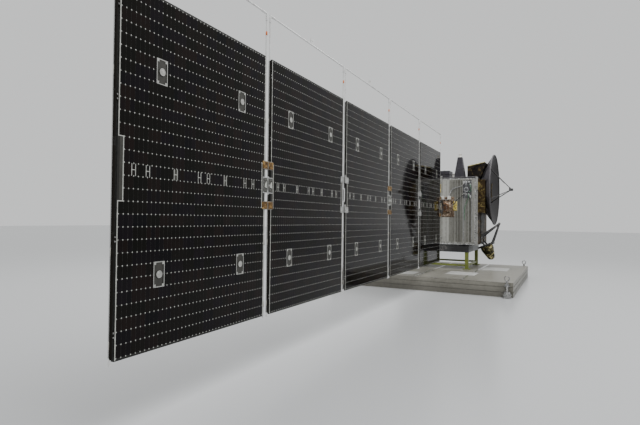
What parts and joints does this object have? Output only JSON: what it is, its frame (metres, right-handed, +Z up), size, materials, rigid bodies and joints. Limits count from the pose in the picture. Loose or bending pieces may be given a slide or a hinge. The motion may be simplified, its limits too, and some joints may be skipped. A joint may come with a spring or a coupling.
{
  "type": "satellite",
  "caption": "Boxy satellite on a low work platform: dish antenna, ion thrusters, one five-panel solar wing deployed and hung in hoist frames, the other not fitted.",
  "frame": {"origin": "on the floor under the middle of the bus", "axes": "+Z up, +X towards the dish antenna, -Y along the deployed solar wing, +Y towards the side without a wing"},
  "size_m": [3.4, 10.1263, 3.152],
  "materials": {
    "cell_panel": "glossy cover glass over dark cells",
    "white_tube": "white gloss paint",
    "hinge_alloy": "machined",
    "yoke_composite": "black carbon composite",
    "copper_foil": "crinkled copper-coloured foil",
    "bus_core": "composite sandwich",
    "deck_alloy": "honeycomb panel, dull",
    "gold_foil": "crinkled gold-coloured foil",
    "bright_alloy": "bright",
    "radiator_alloy": "silver, satin",
    "dish_composite": "dark grey composite",
    "black_fitting": "black",
    "black_foil": "crinkled black foil",
    "black_blanket": "black blanket",
    "white_cap": "white",
    "adapter_alloy": "brown anodised",
    "stand_black": "black paint",
    "leg_green": "yellow-green paint",
    "plinth_paint": "beige-grey paint",
    "plinth_sheet": "pale grey sheet",
    "jack_steel": "dark steel and rubber"
  },
  "bodies": {
    "root": {"adapter_ring": "adapter_alloy", "bottom_deck": "deck_alloy", "bus_body": "bus_core", "connector_bracket": "radiator_alloy", "corner_posts": "bright_alloy", "deck_antenna": "white_cap", "deck_cameras": "black_blanket", "dish_cradle": "black_foil", "dish_feed": "black_fitting", "dish_reflector": "dish_composite", "dish_support": "black_foil", "end_panels": "gold_foil", "far_drive_housing": "copper_foil", "harness_coil": "bright_alloy", "hold_down_posts": "bright_alloy", "instrument_box": "black_blanket", "junction_boxes": "white_cap", "near_drive_housing": "copper_foil", "plinth_base": "plinth_paint", "plinth_deck": "plinth_sheet", "plinth_jacks": "jack_steel", "pyramid_shroud": "black_blanket", "radiators": "radiator_alloy", "shroud_cap": "white_cap", "stand_legs": "leg_green", "stand_ring": "stand_black", "thruster_trusses": "black_fitting", "thrusters": "gold_foil", "top_deck": "deck_alloy"},
    "near_arm": {"near_drive_hub": "hinge_alloy"},
    "near_yoke": {"near_yoke": "yoke_composite", "near_yoke_fittings": "hinge_alloy"},
    "far_arm": {"far_drive_hub": "hinge_alloy"},
    "near_panel_1": {"near_panel_1": "cell_panel", "near_fittings_1": "hinge_alloy", "near_frame_1": "white_tube"},
    "near_panel_2": {"near_panel_2": "cell_panel", "near_fittings_2": "hinge_alloy", "near_frame_2": "white_tube"},
    "near_panel_3": {"near_panel_3": "cell_panel", "near_fittings_3": "hinge_alloy", "near_frame_3": "white_tube"},
    "near_panel_4": {"near_panel_4": "cell_panel", "near_fittings_4": "hinge_alloy", "near_frame_4": "white_tube"},
    "near_panel_5": {"near_panel_5": "cell_panel", "near_fittings_5": "hinge_alloy", "near_frame_5": "white_tube"}
  },
  "joints": [
    {"name": "near_drive", "type": "hinge", "parent": "root", "child": "near_arm", "pos_m": [0.14, -0.72, 1.57], "axis": [0, 1, 0], "range_deg": [-90, 90]},
    {"name": "near_fold", "type": "hinge", "parent": "near_arm", "child": "near_yoke", "pos_m": [0.14, -0.79, 1.57], "axis": [0, 0, 1], "range_deg": [0, 90]},
    {"name": "near_hinge_1", "type": "hinge", "parent": "near_yoke", "child": "near_panel_1", "pos_m": [0.115, -1.09, 1.57], "axis": [0, 0, 1], "range_deg": [-180, 0]},
    {"name": "near_hinge_2", "type": "hinge", "parent": "near_panel_1", "child": "near_panel_2", "pos_m": [0.165, -2.69, 1.57], "axis": [0, 0, 1], "range_deg": [0, 180]},
    {"name": "near_hinge_3", "type": "hinge", "parent": "near_panel_2", "child": "near_panel_3", "pos_m": [0.115, -4.29, 1.57], "axis": [0, 0, 1], "range_deg": [-180, 0]},
    {"name": "near_hinge_4", "type": "hinge", "parent": "near_panel_3", "child": "near_panel_4", "pos_m": [0.165, -5.89, 1.57], "axis": [0, 0, 1], "range_deg": [0, 180]},
    {"name": "near_hinge_5", "type": "hinge", "parent": "near_panel_4", "child": "near_panel_5", "pos_m": [0.115, -7.49, 1.57], "axis": [0, 0, 1], "range_deg": [-180, 0]},
    {"name": "far_drive", "type": "hinge", "parent": "root", "child": "far_arm", "pos_m": [0.14, 0.72, 1.57], "axis": [0, 1, 0], "range_deg": [-90, 90]}
  ],
  "couplings": [
    {"joint": "near_fold", "follows": "near_hinge_3", "ratio": -0.5},
    {"joint": "near_hinge_1", "follows": "near_hinge_3", "ratio": 1},
    {"joint": "near_hinge_2", "follows": "near_hinge_3", "ratio": -1},
    {"joint": "near_hinge_4", "follows": "near_hinge_3", "ratio": -1},
    {"joint": "near_hinge_5", "follows": "near_hinge_3", "ratio": 1}
  ]
}
